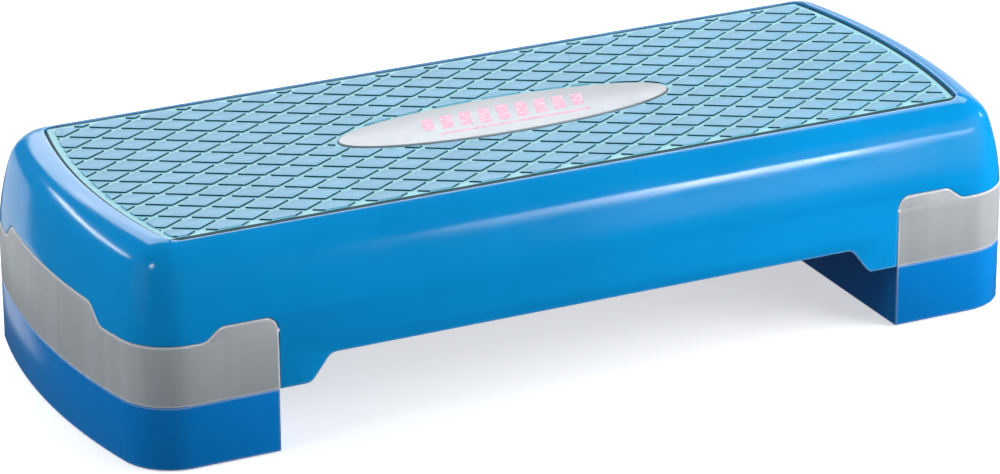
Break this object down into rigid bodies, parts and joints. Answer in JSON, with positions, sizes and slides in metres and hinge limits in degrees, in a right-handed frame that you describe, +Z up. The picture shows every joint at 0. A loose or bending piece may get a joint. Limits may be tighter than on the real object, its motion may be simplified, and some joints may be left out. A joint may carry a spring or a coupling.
{
  "type": "aerobic exercise step",
  "caption": "Long low two-height exercise step: hollow bowed-end deck with a rubber tread, grey collars and riser feet that pull off downwards.",
  "frame": {"origin": "middle of the floor under the step, on its riser feet", "axes": "+X along its length, -Y towards the front, +Z up"},
  "size_m": [0.68, 0.2856, 0.15],
  "materials": {
    "deck_plastic": "polished, injection moulded",
    "foot_plastic": "polished, injection moulded",
    "collar_plastic": "satin",
    "tread_rubber": "moulded diamond tread, matte",
    "badge_plastic": "satin plate",
    "pad_rubber": "matte",
    "screw_steel": "zinc plated"
  },
  "bodies": {
    "deck": {"deck_shell": "deck_plastic", "deck_ribs": "deck_plastic", "top_mat": "tread_rubber", "name_badge": "badge_plastic", "collar_left": "collar_plastic", "collar_right": "collar_plastic", "collar_plate_left": "collar_plastic", "collar_plate_right": "collar_plastic", "collar_screws_left": "screw_steel", "collar_screws_right": "screw_steel", "collar_pad_left_inner_front": "pad_rubber", "collar_pad_left_inner_back": "pad_rubber", "collar_pad_left_outer_front": "pad_rubber", "collar_pad_left_outer_back": "pad_rubber", "collar_pad_right_inner_front": "pad_rubber", "collar_pad_right_inner_back": "pad_rubber", "collar_pad_right_outer_front": "pad_rubber", "collar_pad_right_outer_back": "pad_rubber"},
    "foot_left": {"foot_left": "foot_plastic", "foot_pad_left_inner_front": "pad_rubber", "foot_pad_left_inner_back": "pad_rubber", "foot_pad_left_outer_front": "pad_rubber", "foot_pad_left_outer_back": "pad_rubber"},
    "foot_right": {"foot_right": "foot_plastic", "foot_pad_right_inner_front": "pad_rubber", "foot_pad_right_inner_back": "pad_rubber", "foot_pad_right_outer_front": "pad_rubber", "foot_pad_right_outer_back": "pad_rubber"}
  },
  "joints": [
    {"name": "foot_left_pull", "type": "slide", "parent": "deck", "child": "foot_left", "axis": [0, 0, -1], "range_m": [0, 0.08]},
    {"name": "foot_right_pull", "type": "slide", "parent": "deck", "child": "foot_right", "axis": [0, 0, -1], "range_m": [0, 0.08]}
  ]
}
